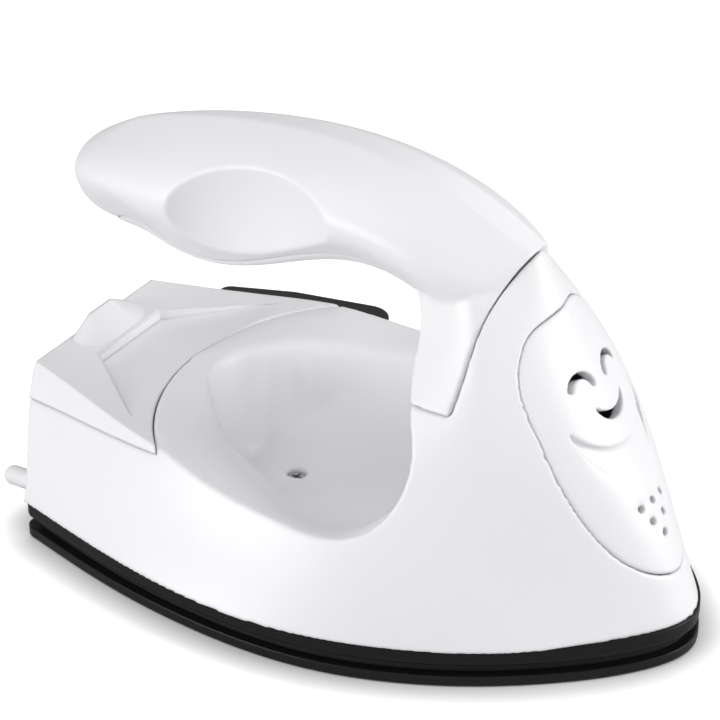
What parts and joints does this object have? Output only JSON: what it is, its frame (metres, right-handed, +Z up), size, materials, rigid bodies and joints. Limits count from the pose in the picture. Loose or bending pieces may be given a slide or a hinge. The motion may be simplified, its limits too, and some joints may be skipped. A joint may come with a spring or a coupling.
{
  "type": "mini handheld heat press",
  "caption": "Palm-sized craft iron with a one-piece curved handle over a scooped finger well, a pointed nose, an oval front badge and a two-pin mains inlet.",
  "frame": {"origin": "on the ironing face, under the middle of the body", "axes": "+X forward to the nose, +Y to the port side, where the mains inlet is, +Z up"},
  "size_m": [0.1067, 0.0687, 0.0672],
  "materials": {
    "base_black": "heat-resistant moulding, satin",
    "ceramic": "glazed ceramic",
    "clamp_aluminium": "mill",
    "contact_brass": "plain",
    "foot_rubber": "pale soft peg",
    "gasket_rubber": "silicone",
    "heater_sheet": "polyimide film",
    "insulation": "mica sheet",
    "screw_steel": "zinc-plated",
    "shell_white": "fine moulded ABS, soft sheen",
    "sole_coated": "non-stick coated aluminium, satin",
    "wire_sleeve": "glass-fibre sleeve"
  },
  "bodies": {
    "press_body": {"contact_arm": "contact_brass", "cover_screws": "screw_steel", "front_badge": "shell_white", "handle_body": "shell_white", "handle_screws": "screw_steel", "handle_underside_cover": "shell_white", "heat_shield": "clamp_aluminium", "heat_skirt": "base_black", "heater_clamp_plate": "clamp_aluminium", "heater_terminals": "contact_brass", "heating_element": "heater_sheet", "heel_feet": "foot_rubber", "inlet_housing": "base_black", "inlet_pin_live": "contact_brass", "inlet_pin_neutral": "contact_brass", "inlet_screws": "screw_steel", "insulation_pad": "insulation", "main_shell": "shell_white", "nose_screw": "screw_steel", "plate_gasket": "gasket_rubber", "plate_screws": "screw_steel", "sole_plate": "sole_coated", "tail_cover": "shell_white", "tail_screws": "screw_steel", "thermal_fuse": "ceramic", "thermostat_base": "ceramic", "thermostat_pin": "contact_brass", "well_screw": "screw_steel", "wire_heater": "wire_sleeve", "wire_link": "wire_sleeve", "wire_live": "wire_sleeve", "wire_neutral": "wire_sleeve"},
    "blade": {"thermostat_blade": "screw_steel"}
  },
  "joints": [
    {"name": "thermostat_lift", "type": "hinge", "parent": "press_body", "child": "blade", "pos_m": [0.027, -0.003, 0.0102], "axis": [0, 1, 0], "range_deg": [0, 4], "stiffness_Nm_per_rad": 0.002}
  ]
}
